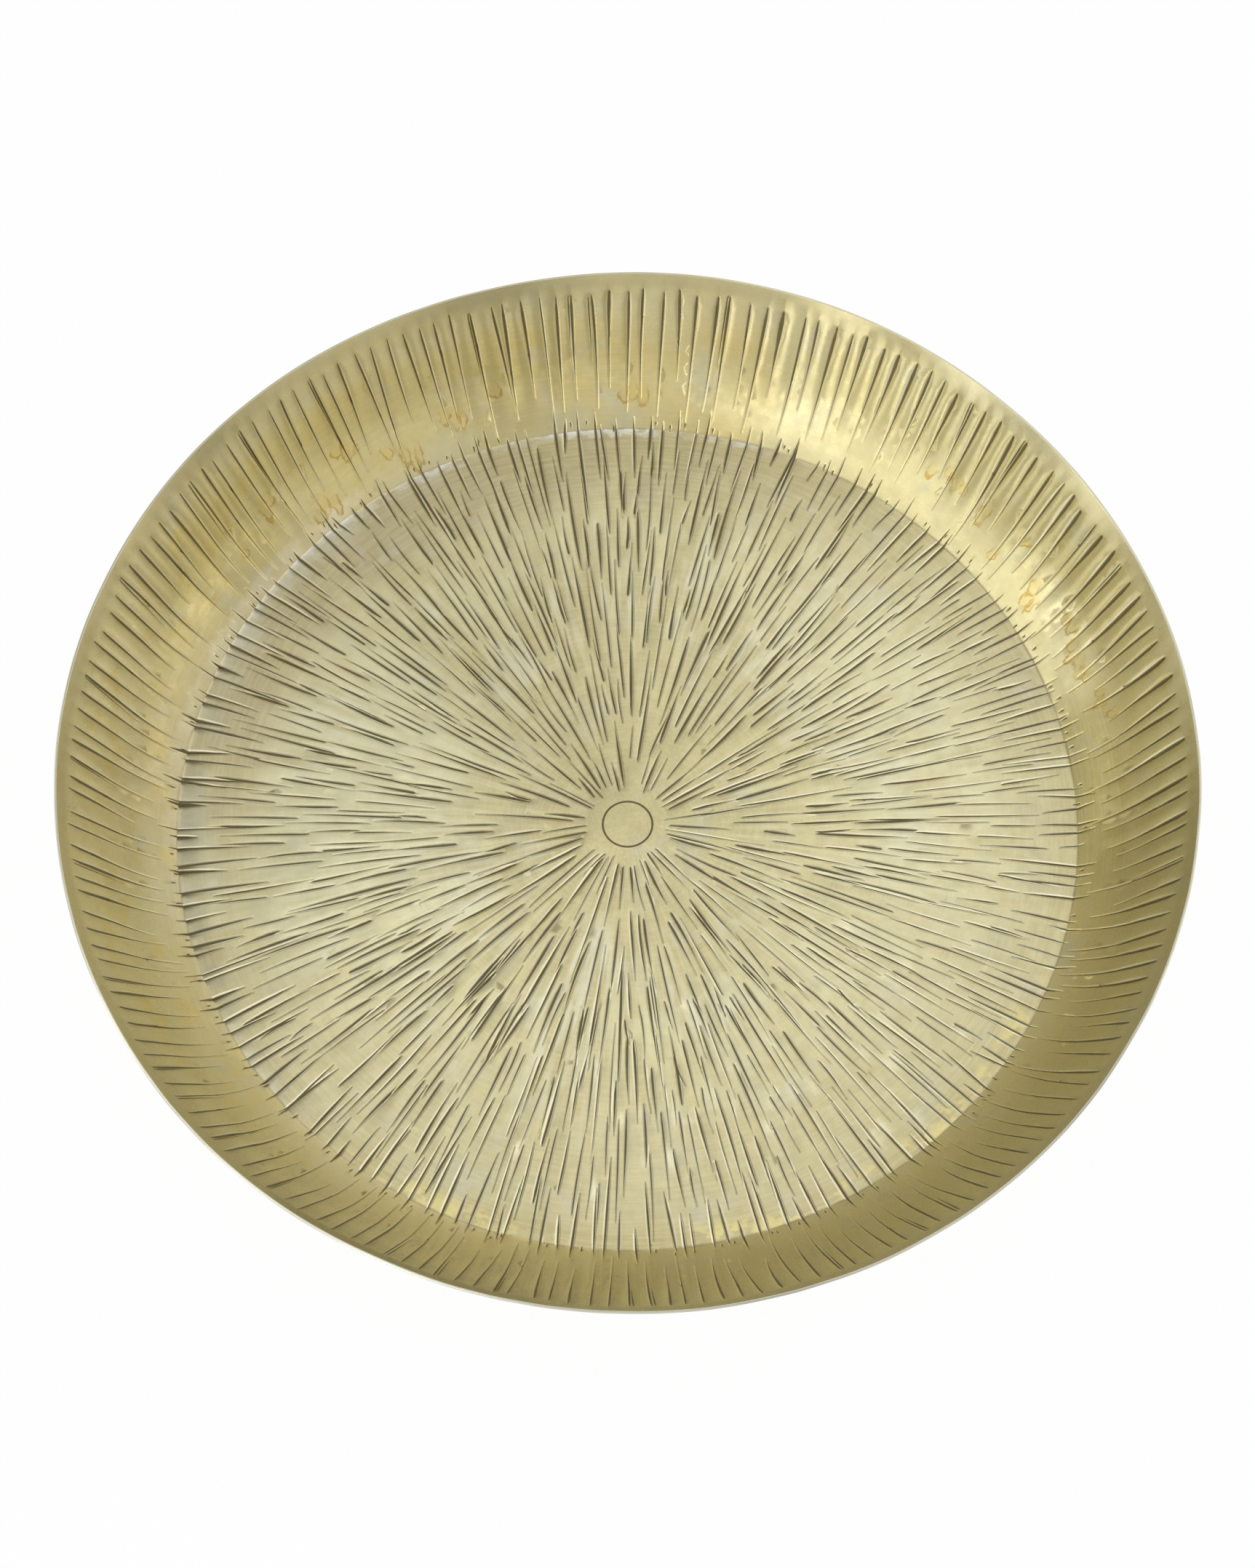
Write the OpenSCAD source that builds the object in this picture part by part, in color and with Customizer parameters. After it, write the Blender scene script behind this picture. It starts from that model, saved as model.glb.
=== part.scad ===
// Round brass serving tray: one spun sheet with a flat floor and a flared wall,
// chased with a sunburst and standing on four self-adhesive felt discs.
// The origin is on the tray's axis, at the level of the table. Sizes are in millimetres.

/* [Dish] */
// Diameter of the mouth, at the inner edge of the rim
mouth_d = 458; // [430:1:560]
// Diameter of the flat floor, where the lines of floor and wall meet
floor_d = 370; // [320:1:400]
// Depth from the rim to the upper face of the floor
dish_depth = 55.5; // [40:0.5:75]
// Thickness of the brass sheet
sheet_t = 1.2; // [0.8:0.1:2]
// Inside radius of the bend between floor and wall
corner_r = 4; // [2:0.5:8]
// How far the wall runs outward before it turns steeper
knee_run = 14.5; // [10:0.5:20]
// How far the wall rises before it turns steeper
knee_rise = 10.5; // [6:0.5:14]
// Inside radius of that turn
knee_r = 90; // [20:1:100]
// Width of the ease on the two edges of the cut rim
edge_ease = 0.2; // [0.05:0.05:0.35]

/* [Centre mark] */
// Diameter of the ring scribed round the middle of the floor
ring_d = 20.4; // [10:0.1:60]
// Width of the ring's groove
ring_w = 1; // [0.6:0.1:2]
// Depth of the ring's groove
ring_depth = 0.35; // [0.1:0.05:0.5]
// Diameter of the punch dot in the middle
dot_d = 1.2; // [0.6:0.1:3]
// Depth of the punch dot
dot_depth = 0.4; // [0.1:0.05:0.5]

/* [Chasing] */
// Width of a chisel mark at its head
mark_w = 1.4; // [0.8:0.1:2]
// Depth of a chisel mark at its head
mark_depth = 0.45; // [0.1:0.05:0.6]
// Number of marks round the wall
wall_mark_count = 188; // [40:1:200]
// Plain land between the rim and the heads of the wall's marks
rim_land = 7.4; // [3:0.2:15]
// Length of the longest marks on the floor
floor_mark_l = 18; // [8:0.5:30]
// Gap between one ring of floor marks and the next
floor_mark_gap = 2.5; // [1.5:0.5:10]
// Spacing of the floor's marks round a ring
floor_mark_pitch = 7.5; // [4:0.5:15]
// Plain land round the centre ring
centre_land = 6; // [4:1:40]
// Plain land between the floor's marks and the bend
bend_land = 2; // [1:0.5:15]
// Largest stray of a mark to either side, as a share of the spacing
side_stray = 0.15; // [0:0.01:0.25]
// Largest loss of length of a floor mark, as a share of its length
length_stray = 0.3; // [0:0.05:0.5]

/* [Pads] */
// Number of felt pads
pad_count = 4; // [3:1:6]
// Diameter of a felt pad
pad_d = 20; // [12:1:40]
// Thickness of the felt
pad_t = 2.5; // [1.5:0.1:5]
// Thickness of the adhesive film between felt and brass
film_t = 0.3; // [0.1:0.05:0.6]
// Margin of bare felt round the adhesive film
film_margin = 0.5; // [0:0.1:2]
// Diameter of the circle on which the pads are set
pad_circle_d = 300; // [120:1:300]

/* [Hidden] */
$fn = 240;
brass = "#bfb07a";
felt = "#3a322b";
film = "#e4dcc4";

// Levels of the sheet's two faces
under_z = pad_t + film_t;
floor_z = under_z + sheet_t;

// Corners of the upper face's line before they are rounded
foot = [floor_d / 2, floor_z];
knee = foot + [knee_run, knee_rise];
lip = [mouth_d / 2, floor_z + dish_depth];
foot_a = atan2(knee_rise, knee_run);
wall_a = atan2(lip.y - knee.y, lip.x - knee.x);

// Centres of the two rounds, which touch the lines on either side of their corner
corner_centre = foot - corner_r * tan(foot_a / 2) * along(0) - corner_r * through(0);
knee_centre = knee - knee_r * tan((wall_a - foot_a) / 2) * along(foot_a) - knee_r * through(foot_a);

// Straight steps that make up each round
corner_steps = 8;
knee_steps = 10;

// Wall marks run from the plain land at the rim to where the wall starts to curve
wall_mark_l = norm(lip - knee) - knee_r * tan((wall_a - foot_a) / 2) - rim_land;

// Rings of floor marks that fit between the two plain lands
floor_inner_r = ring_d / 2 + centre_land;
floor_outer_r = corner_centre.x - bend_land;
floor_ring_step = floor_mark_l + floor_mark_gap;
floor_rings = floor((floor_outer_r - floor_inner_r + floor_mark_gap) / floor_ring_step);

// Seeds of the strays of the hand
wall_seed = 7;
floor_seed = 20;

// First angle on the circle of pads
pad_start_a = 180 / pad_count;

// Unit step along a line that climbs at an angle, and the step through the sheet to its lower face
function along(a) = [cos(a), sin(a)];
function through(a) = [sin(a), -cos(a)];

// Points on a round that turns the sheet upward from one slope to another
function round_points(centre, r, a0, a1, steps) =
    [for (i = [0:steps]) centre + r * through(a0 + (a1 - a0) * i / steps)];

// The dish's line at a depth through the sheet, from the axis to just short of the cut edge
function face_line(depth) = concat(
    [[0, floor_z - depth]],
    round_points(corner_centre, corner_r + depth, 0, foot_a, corner_steps),
    round_points(knee_centre, knee_r + depth, foot_a, wall_a, knee_steps),
    [lip - edge_ease * along(wall_a) + depth * through(wall_a)]
);

function reversed(list) = [for (i = [len(list) - 1:-1:0]) list[i]];

// Half of the dish's section, to the right of the axis: upper face, cut edge, lower face
module dish_section() {
    cut_edge = [for (depth = [edge_ease, sheet_t - edge_ease]) lip + depth * through(wall_a)];
    polygon(concat(face_line(0), cut_edge, reversed(face_line(sheet_t))));
}

// Section of a V groove that is cut down into the floor
module v_groove(w, depth) {
    polygon([[-w / 2, 0], [0, -depth], [w / 2, 0]]);
}

module centre_ring() {
    rotate_extrude()
        translate([ring_d / 2, floor_z])
            v_groove(ring_w, ring_depth);
}

module centre_dot() {
    translate([0, 0, floor_z - dot_depth])
        cylinder(d1 = 0, d2 = dot_d, h = dot_depth);
}

// One stroke of a V-shaped chisel along X on a face at z = 0: it bites at its head and runs out to nothing
module chisel_mark(l) {
    tilt = atan(mark_depth / l);
    clear = 2;
    half_w = clear * mark_w / 2;
    rise = clear * mark_depth;
    translate([0, 0, -mark_depth])
        rotate([0, tilt, 0])
            rotate([90, 0, -90])
                linear_extrude(l + rise)
                    polygon([[0, 0], [half_w, rise], [-half_w, rise]]);
}

// Marks side by side up the wall, with their heads at the rim
module wall_marks() {
    head = lip - rim_land * along(wall_a);
    stray = rands(-side_stray, side_stray, wall_mark_count, wall_seed);
    for (i = [0:wall_mark_count - 1])
        rotate((i + stray[i]) * 360 / wall_mark_count)
            translate([head.x, 0, head.y])
                rotate([0, -wall_a, 0])
                    chisel_mark(wall_mark_l);
}

// Rings of marks on the floor, each ring set half a step round from the last
module floor_marks() {
    for (ring = [0:floor_rings - 1]) {
        head_r = floor_outer_r - ring * floor_ring_step;
        count = round(2 * PI * (head_r - floor_mark_l / 2) / floor_mark_pitch);
        stray = rands(-side_stray, side_stray, count, floor_seed + ring);
        loss = rands(0, length_stray, count, 2 * floor_seed + ring);
        for (i = [0:count - 1])
            rotate((i + ring / 2 + stray[i]) * 360 / count)
                translate([head_r - loss[i] * floor_mark_l / 2, 0, floor_z])
                    chisel_mark((1 - loss[i]) * floor_mark_l);
    }
}

module tray_pan() {
    color(brass)
        difference() {
            rotate_extrude()
                dish_section();
            wall_marks();
            floor_marks();
            centre_ring();
            centre_dot();
        }
}

// Puts its children under the floor at one of the pads' places
module at_pad(i) {
    rotate(pad_start_a + (i - 1) * 360 / pad_count)
        translate([pad_circle_d / 2, 0, 0])
            children();
}

module felt_pad(i) {
    color(felt)
        at_pad(i)
            cylinder(d = pad_d, h = pad_t);
}

module adhesive_disc(i) {
    color(film)
        at_pad(i)
            translate([0, 0, pad_t])
                cylinder(d = pad_d - 2 * film_margin, h = film_t);
}

tray_pan();
for (i = [1:pad_count]) {
    felt_pad(i);
    adhesive_disc(i);
}
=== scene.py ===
"""A round brass serving tray: one chased and aged sheet on felt pads, under soft studio light."""
import math
import random

import bpy
import numpy as np
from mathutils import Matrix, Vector
from mathutils.geometry import delaunay_2d_cdt


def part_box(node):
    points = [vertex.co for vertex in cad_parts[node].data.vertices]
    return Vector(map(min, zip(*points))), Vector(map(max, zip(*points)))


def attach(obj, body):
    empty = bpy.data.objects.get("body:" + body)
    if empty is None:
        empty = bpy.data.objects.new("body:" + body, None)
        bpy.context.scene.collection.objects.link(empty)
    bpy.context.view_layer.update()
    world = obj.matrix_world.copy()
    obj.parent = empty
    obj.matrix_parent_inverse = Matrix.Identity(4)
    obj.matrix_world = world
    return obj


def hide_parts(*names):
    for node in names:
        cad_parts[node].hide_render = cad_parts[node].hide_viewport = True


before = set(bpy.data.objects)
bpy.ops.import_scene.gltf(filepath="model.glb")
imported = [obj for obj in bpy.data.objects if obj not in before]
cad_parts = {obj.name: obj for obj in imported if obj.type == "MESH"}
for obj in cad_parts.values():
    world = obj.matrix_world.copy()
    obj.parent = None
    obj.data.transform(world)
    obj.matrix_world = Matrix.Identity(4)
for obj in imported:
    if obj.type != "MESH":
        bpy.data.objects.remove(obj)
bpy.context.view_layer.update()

# Sizes of the sheet, in millimetres: its mesh is written in metres at the end
MM = 0.001
TURN = 2 * math.pi
pan_low, pan_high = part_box("tray_pan")
SHEET = 1.2
FLOOR_Z = pan_low[2] / MM + SHEET
RIM_Z = pan_high[2] / MM
FLOOR_R = 185.0
MOUTH_R = 229.0
CORNER_R = 1.1
KNEE_RUN = 14.5
KNEE_RISE = 10.5
KNEE_R = 90.0
EDGE_EASE = 0.25
RIM_STRAY_OUT = 0.45
RIM_STRAY_UP = 0.25
PAD_COUNT = 4

# Points of the meshes: how many, and the distances between them in millimetres
RIM_POINTS = 720
RING_POINTS = 96
FELT_POINTS = 72
MARK_STEP = 11.0
BEND_GUARD = 0.9
SAME_PLACE = 1e-4

# Strokes of the chisel, in millimetres: lengths, half widths and depths are those of a middling one
WALL_MARK_COUNT = 188
WALL_MARK_LENGTH = 52.0
WALL_MARK_HALF_W = 0.98
WALL_MARK_DEPTH = 0.5
RIM_LAND = 7.4
BEND_MARK_COUNT = 190
BEND_MARK_LENGTH = 23.0
BEND_MARK_HALF_W = 0.56
BEND_MARK_DEPTH = 0.4
RAY_COUNT = 196
FLOOR_MARK_LENGTH = 31.0
FLOOR_MARK_HALF_W = 0.57
FLOOR_MARK_DEPTH = 0.42
LIP_W = 0.75
LIP_H = 0.035
VALLEY_W = 2.2
DEEPEST_VALLEY = 0.6
MARK_REACH = 8.0
FOOT_BAND = 14.0
NEAR = 45.0

# Shares of the strokes that are struck twice, knotted or turned round, and of the bend's that have a nick
TWICE_SHARE = 0.2
KNOT_SHARE = 0.4
TURNED_SHARE = 0.15
NICK_SHARE = 0.5

# Share of the relief that shows on the underside
CUT_BELOW = 0.5
VALLEY_BELOW = 0.8

# The ring scribed round the middle of the floor
RING_R = 10.2
RING_HALF_W = 0.5
RING_DEPTH = 0.36

# Sides of the tray, as angles from its right, where strokes are bold or crisp or catch the light
BOLD_SIDE = math.radians(150)
BOLD_WALL = math.radians(42)
CRISP_SIDE = math.radians(66)
GLINT_SIDE = math.radians(300)
RING_BOLD_SIDE = 0.9

# Drop stains: radius of the wall where they lie, and sectors as (from, to, groups), in degrees
STAIN_R = 202.0
STAIN_SECTORS = ((9, 52, 12), (84, 93, 1), (104, 144, 8))

# Seeds of what strays at random
MARK_SEED = 41
RIM_SEED = 5
DENT_SEED = 9
STAIN_SEED = 23
FELT_SEED = 60


# Line of the sheet's upper face, from the axis to the rim
def step_along(distance, slope, radius):
    """Radius and height gained on a straight stretch, or on a round one where radius isn't 0."""
    if radius == 0:
        return np.array([distance * np.cos(slope), distance * np.sin(slope)])
    end = slope + distance / radius
    return np.array([radius * (np.sin(end) - np.sin(slope)), radius * (np.cos(slope) - np.cos(end))])


def line_pieces():
    """Stretches of the line as (start, end, point, slope, radius), with start and end along the face."""
    foot_a = math.atan2(KNEE_RISE, KNEE_RUN)
    knee = np.array([FLOOR_R + KNEE_RUN, FLOOR_Z + KNEE_RISE])
    rim = np.array([MOUTH_R, RIM_Z])
    wall_a = math.atan2(rim[1] - knee[1], rim[0] - knee[0])
    corner_reach = CORNER_R * math.tan(foot_a / 2)
    knee_reach = KNEE_R * math.tan((wall_a - foot_a) / 2)
    pieces = []
    start, point, slope = 0.0, np.array([0.0, FLOOR_Z]), 0.0
    for length, radius in (
        (FLOOR_R - corner_reach, 0.0),
        (CORNER_R * foot_a, CORNER_R),
        (math.hypot(KNEE_RUN, KNEE_RISE) - corner_reach - knee_reach, 0.0),
        (KNEE_R * (wall_a - foot_a), KNEE_R),
        (float(np.linalg.norm(rim - knee)) - knee_reach, 0.0),
    ):
        pieces.append((start, start + length, point, slope, radius))
        point = point + step_along(length, slope, radius)
        start += length
        slope += length / radius if radius else 0.0
    return pieces


LINE = line_pieces()
FLOOR_S = LINE[0][1]
FOOT_S = LINE[1][1]
BEND_S = (FLOOR_S + FOOT_S) / 2
RIM_S = LINE[-1][1]
EDGE_S = RIM_S - EDGE_EASE


def face_line(s):
    """Radius, height and slope of the upper face at each distance s along it."""
    r, z, slope = np.zeros_like(s), np.zeros_like(s), np.zeros_like(s)
    for start, end, point, a, radius in LINE:
        here = (s >= start) & ((s < end) | (end == RIM_S))
        gain = step_along(s[here] - start, a, radius)
        r[here], z[here] = point[0] + gain[0], point[1] + gain[1]
        slope[here] = a + (s[here] - start) / radius if radius else a
    return r, z, slope


# Chisel marks: strokes on the sheet laid flat
class Mark:
    """One stroke of the chisel, from its head to its tail.

    head, tail: distance along the face, and angle.
    half_w, depth: half width and depth where it is largest.
    bite, fade: powers with which it swells from its head and thins out to its tail.
    valley: depth of the shallow trough that it lies in.
    bow: how far its middle strays to the left.
    trail: share of its size that goes on almost to the tail.
    keel: where its deepest line lies, from -1 at its right edge to 1 at its left one.
    lips: the burr on its left and on its right, as shares of the highest.
    core: power that draws its darkness in to the keel.
    shade, sheen: strength of a soft spot of painted shade and of a painted highlight, on the right of its
    head.
    """

    def __init__(self, head, tail, half_w, depth, bite, fade, valley=0.0, bow=0.0, trail=0.0, keel=0.0,
                 lips=(0.0, 0.0), core=1.0, shade=0.0, sheen=0.0):
        self.head = np.array([head[0] * math.cos(head[1]), head[0] * math.sin(head[1])])
        end = np.array([tail[0] * math.cos(tail[1]), tail[0] * math.sin(tail[1])])
        self.length = float(np.linalg.norm(end - self.head))
        self.along = (end - self.head) / self.length
        self.middle = (self.head + end) / 2
        self.across = np.array([-self.along[1], self.along[0]])
        self.half_w, self.depth = half_w, depth
        self.valley, self.bow, self.trail, self.keel, self.lips = valley, bow, trail, keel, lips
        self.bite, self.fade, self.core, self.shade, self.sheen = bite, fade, core, shade, sheen
        peak = bite / (bite + fade)
        self.most = peak**bite * (1 - peak) ** fade

    def shape(self, t):
        """Size of the stroke at t, from 0 at its head to 1 at its tail, as a share of the largest."""
        t = np.clip(t, 0.0, 1.0)
        body = t**self.bite * (1 - t) ** self.fade / self.most
        return np.maximum(body, self.trail * np.minimum(1, 20 * t) * (1 - t**6))

    def line(self, share, beside=0.0):
        """Points from head to tail, at a share of the half width to the left, and millimetres beside that."""
        steps = 4 + round(self.length / MARK_STEP)
        t = 0.5 - 0.5 * np.cos(np.pi * np.arange(steps + 1) / steps)
        side = 4 * self.bow * t * (1 - t) + share * self.half_w * self.shape(t) + beside
        return self.head + np.outer(t * self.length, self.along) + np.outer(side, self.across)

    def local(self, points):
        """Share of the length, and distance to the left, for each point."""
        d = points - self.head
        t = d @ self.along / self.length
        return t, d @ self.across - 4 * self.bow * t * (1 - t)


def between(value, low, high):
    return min(max(value, low), high)


def leaning(rng, most, steep=False):
    """Keel and lips of a stroke struck with the chisel leaning, mostly with the higher burr on the left.

    most is the highest burr. The keel lies away from the higher burr, but beside a left one where steep.
    """
    strong, weak = rng.uniform(0.4, 1.0) * most, rng.uniform(0.0, 0.35) * most
    keel = rng.uniform(0.2, 0.5)
    if rng.random() < 0.7:
        return {"keel": keel if steep else -keel, "lips": (strong, weak)}
    return {"keel": keel, "lips": (weak, strong)}


def wall_marks(rng):
    """Long strokes side by side up the wall, below a plain land at the rim, some struck twice or knotted."""
    marks = []
    for i in range(WALL_MARK_COUNT):
        a = (i + rng.gauss(0, 0.1)) * TURN / WALL_MARK_COUNT
        top = RIM_S - RIM_LAND + rng.gauss(0, 0.8)
        thin = between((1 - math.cos(a - BOLD_WALL)) / 0.7 - 0.2, 0, 1) - 0.4 * max(-math.cos(a), 0) ** 4
        length = between(rng.gauss(WALL_MARK_LENGTH, 6) + 5 * thin, 34, 61)
        strength = between(rng.gauss(1, 0.18), 0.6, 1.4)
        lean = rng.gauss(0, 0.005)
        marks.append(Mark(
            (top, a), (top - length, a + lean), half_w=(WALL_MARK_HALF_W - 0.42 * thin) * strength,
            depth=WALL_MARK_DEPTH * strength, bite=rng.uniform(0.3, 0.6),
            fade=rng.uniform(1.6, 2.4) - 0.6 * thin, valley=0.55 * strength, bow=rng.gauss(0, 0.25),
            trail=0.3 + 0.12 * thin, **leaning(rng, 0.8 - 0.35 * thin, True),
            core=1 + 0.9 * max(math.cos(a - CRISP_SIDE), 0) ** 2, shade=0.1 + 0.1 * thin))
        if rng.random() < TWICE_SHARE:
            b = a + rng.uniform(0.004, 0.007)
            marks.append(Mark((top - 0.5, b), (top - 0.6 * length, b + lean), half_w=0.4, depth=0.3, bite=0.4,
                              fade=1.3))
        if rng.random() < KNOT_SHARE:
            slip = rng.uniform(0.25, 0.7)
            s, b = top - slip * length, a + slip * lean
            marks.append(Mark((s, b), (s - 1.6, b), half_w=0.5, depth=0.1, bite=0.4, fade=0.6))
    return marks


def bend_marks(rng):
    """Strokes that start low on the wall and run over the bend on to the floor, and nicks between them."""
    marks = []
    for i in range(BEND_MARK_COUNT):
        a = (i + rng.gauss(0, 0.2)) * TURN / BEND_MARK_COUNT
        up, down = rng.uniform(3, 11), between(rng.gauss(BEND_MARK_LENGTH, 8), 8, 46)
        strength = between(rng.gauss(1, 0.2), 0.5, 1.4) * (1 + 0.15 * math.cos(a - BOLD_SIDE))
        marks.append(Mark(
            (BEND_S + up, a + rng.gauss(0, 0.006)), (BEND_S - down, a), half_w=BEND_MARK_HALF_W * strength,
            depth=BEND_MARK_DEPTH * strength, bite=0.9, fade=1.0, valley=0.1, trail=0.15,
            **leaning(rng, 0.8 + 0.2 * math.cos(a - GLINT_SIDE)), shade=0.5 * max(-math.cos(a), 0) ** 3))
        if rng.random() < NICK_SHARE:
            b = a + rng.uniform(0.3, 0.7) * TURN / BEND_MARK_COUNT
            s = BEND_S + rng.uniform(1.5, 5)
            tail = (s - rng.uniform(1.6, 3.4), b)
            marks.append(Mark((s, b), tail, half_w=0.42, depth=0.3, bite=0.3, fade=0.9))
    return marks


def ray_end(i, rng):
    """Distance from the middle at which a ray stops: one in two, then one in four, goes further in."""
    if i % 2:
        return rng.gauss(84, 9)
    if i % 4:
        return rng.gauss(46, 6)
    return rng.uniform(14, 19)


def floor_mark(rng, i, inner, outer):
    """One stroke of ray i, between two distances from the middle; outer ones in front may get a painted
    highlight.
    """
    middle = (inner + outer) / 2
    a = (i + rng.gauss(0, 0.2)) * TURN / RAY_COUNT + rng.gauss(0, 0.5) / middle
    ends = [(inner, a), (outer, a + rng.gauss(0, 0.9) / middle)]
    if rng.random() < TURNED_SHARE:
        ends.reverse()
    outward = between((middle - 85) / 70, 0, 1)
    fine = outward * (0.25 - 0.25 * math.cos(a - BOLD_SIDE))
    strength = between(rng.gauss(1, 0.3), 0.45, 1.4) * (1 - fine)
    glint = math.cos(a - GLINT_SIDE)
    dimple = 1 + 2.2 * outward * max(glint, 0) ** 3
    mark = Mark(
        *ends, half_w=(FLOOR_MARK_HALF_W + 0.09 * outward) * strength, depth=FLOOR_MARK_DEPTH * strength,
        bite=rng.uniform(0.35, 0.9), fade=rng.uniform(1.0, 1.9), valley=0.2 * strength * dimple,
        bow=rng.gauss(0, 0.3), trail=0.14, **leaning(rng, 0.6 + 0.25 * glint))
    # outer strokes in front may get a painted highlight beside the head
    highlight_odds = outward * max(glint, 0) ** 6
    if rng.random() < 0.7 * highlight_odds:
        mark.sheen = rng.uniform(0.16, 0.4)
    return mark


def floor_marks(rng):
    """Rays of strokes in rows over the floor, each stroke beginning beside the tail of the next one in."""
    marks = []
    for i in range(RAY_COUNT):
        end = ray_end(i, rng)
        outer = BEND_S - rng.uniform(3, 22)
        while outer > end + 12:
            length = between(rng.gauss(FLOOR_MARK_LENGTH, 9), 13, 56)
            inner = max(outer - length, end)
            marks.append(floor_mark(rng, i, inner, outer))
            outer = inner + (1 - rng.uniform(0.7, 1.08)) * length
    return marks


def on_another(mark, others):
    """True where a stroke would lie on a near one of the others for more than a quarter of its length."""
    points = mark.line(0)
    own_w = mark.half_w * mark.shape(mark.local(points)[0])
    for other in others:
        if math.dist(mark.middle, other.middle) < NEAR:
            t, side = other.local(points)
            touching = np.abs(side) < 0.85 * (own_w + other.half_w * other.shape(t))
            if np.mean((t > 0) & (t < 1) & touching) > 0.25:
                return True
    return False


def uncrowded(marks, others):
    """The strokes that lie clear of the others and of one another."""
    kept = []
    for mark in marks:
        if not on_another(mark, others + kept):
            kept.append(mark)
    return kept


rng = random.Random(MARK_SEED)
MARKS = wall_marks(rng) + bend_marks(rng)
MARKS += uncrowded(floor_marks(rng), MARKS)


# Points of the sheet laid flat, and the triangles that join them
def ring(s, count, shift=0.0):
    a = (np.arange(count) + shift) * TURN / count
    return np.stack([s * np.cos(a), s * np.sin(a)], axis=1)


def even_points(floor_step, wall_step, wall_side_step):
    """Rings of points over floor and wall, and close to the rim, inside the outermost ring."""
    rows = [np.zeros((1, 2))]
    count = round(FLOOR_S / floor_step)
    for i in range(1, count):
        s = FLOOR_S * i / count
        rows.append(ring(s, round(TURN * s / floor_step), i / 2))
    count = round((RIM_S - FOOT_S) / wall_step)
    around = round(TURN * FLOOR_R / wall_side_step)
    for i in range(1, count - 1):
        rows.append(ring(FOOT_S + (RIM_S - FOOT_S) * i / count, around, i / 2))
    rows += [ring(RIM_S - back, RIM_POINTS) for back in (0.5, 1.2, 2.4)]
    return np.concatenate(rows)


def closed_ring(s, count):
    loop = ring(s, count)
    return np.concatenate([loop, loop[:1]])


def bend_lines():
    """Closed lines along the bend and just beside it, which keep it crisp where marks cross it."""
    stations = (FLOOR_S - BEND_GUARD, FLOOR_S, BEND_S, FOOT_S, FOOT_S + BEND_GUARD)
    return [closed_ring(s, RIM_POINTS) for s in stations]


def scribed_lines():
    """Closed lines along the ring in the middle: its bottom, its edges and the sheet beside it."""
    shares = (-1.9, -1.3, -1, 0, 1, 1.3, 1.9)
    return [closed_ring(RING_R + share * RING_HALF_W, RING_POINTS) for share in shares]


def clear_of(points, marks, margin):
    """The points that lie outside every mark, by a margin."""
    near = np.zeros(len(points), bool)
    for mark in marks:
        t, u = mark.local(points)
        near |= (t > -0.03) & (t < 1.03) & (np.abs(u) < mark.half_w * mark.shape(t) + margin)
    return points[~near]


def triangulate(loose, lines):
    """Joins loose points and lines of points; returns the places of all corners, and the triangles."""
    corners = [Vector(p) for p in np.concatenate(loose)]
    edges = []
    for line in lines:
        start = len(corners)
        corners.extend(Vector(p) for p in line)
        edges.extend((start + i, start + i + 1) for i in range(len(line) - 1))
    places, _, faces, *_ = delaunay_2d_cdt(corners, edges, [], 0, SAME_PLACE, False)
    return np.array([p[:] for p in places]), np.array(faces)


def upper_mesh():
    """Every mark has its keel, its two edges and the plain sheet beside them as lines."""
    plain = even_points(floor_step=4.6, wall_step=4.0, wall_side_step=2.2)
    loose = [clear_of(plain, MARKS, LIP_W), ring(EDGE_S, RIM_POINTS)]
    lines = bend_lines()
    for mark in MARKS:
        lines += [mark.line(share) for share in (-1, mark.keel, 1)]
        lines += [mark.line(side, side * LIP_W) for side in (-1, 1)]
    return triangulate(loose, lines + scribed_lines())


def lower_mesh():
    """The underside shows the marks only as soft ridges, so it has few points."""
    loose = [even_points(floor_step=6.0, wall_step=6.0, wall_side_step=4.0), ring(EDGE_S, RIM_POINTS)]
    for mark in MARKS:
        loose.append(mark.line(0)[1:-1:2])
    return triangulate(loose, bend_lines())


# Relief of the sheet: height above its plain face, and what the finish needs to know
def spot(side, from_head, beside, wide, down, tall):
    """A soft spot of strength 1, on the right of a stroke and some way down from its head."""
    return np.exp(-(((side + beside) / wide) ** 2) - ((from_head - down) / tall) ** 2)


def mark_relief(mark, t, side, off_foot):
    """Depth, darkness with painted shade, lips with painted highlights, and valley that one stroke gives to
    points near it.
    """
    u = np.abs(side)
    shape = mark.shape(t)
    w = np.maximum(mark.half_w * shape, 1e-3)
    keel = mark.keel * w
    inside = np.clip(np.minimum((w + side) / (w + keel), (w - side) / (w - keel)), 0, 1)
    away = np.where(u > w, (u - w) / LIP_W, inside)
    burr = np.where(side > 0, *mark.lips) * np.sqrt(shape) * np.clip(1 - away, 0, 1)
    from_head = t * mark.length
    # painted highlight: a pale spot beside the head of some strokes
    highlight_spot = mark.sheen * spot(side, from_head, beside=2.2, wide=2.0, down=4, tall=6)
    # painted shade: a soft dark spot beside the head of some strokes, off the foot of the wall
    soft = mark.shade * spot(side, from_head, beside=w, wide=1.5, down=5, tall=9)
    line = inside**mark.core * np.minimum(1, 2.2 * shape)
    dark = np.maximum(line, np.where((side < 0) & off_foot, soft, 0))
    rise = np.clip((t + 0.1) / 0.25, 0, 1)
    reach = rise * rise * (3 - 2 * rise) * np.clip(1.1 - t, 0, 1)
    valley = mark.valley * reach * np.exp(-((u / VALLEY_W) ** 2))
    return mark.depth * shape * inside, dark, np.maximum(burr, highlight_spot), valley


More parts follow.
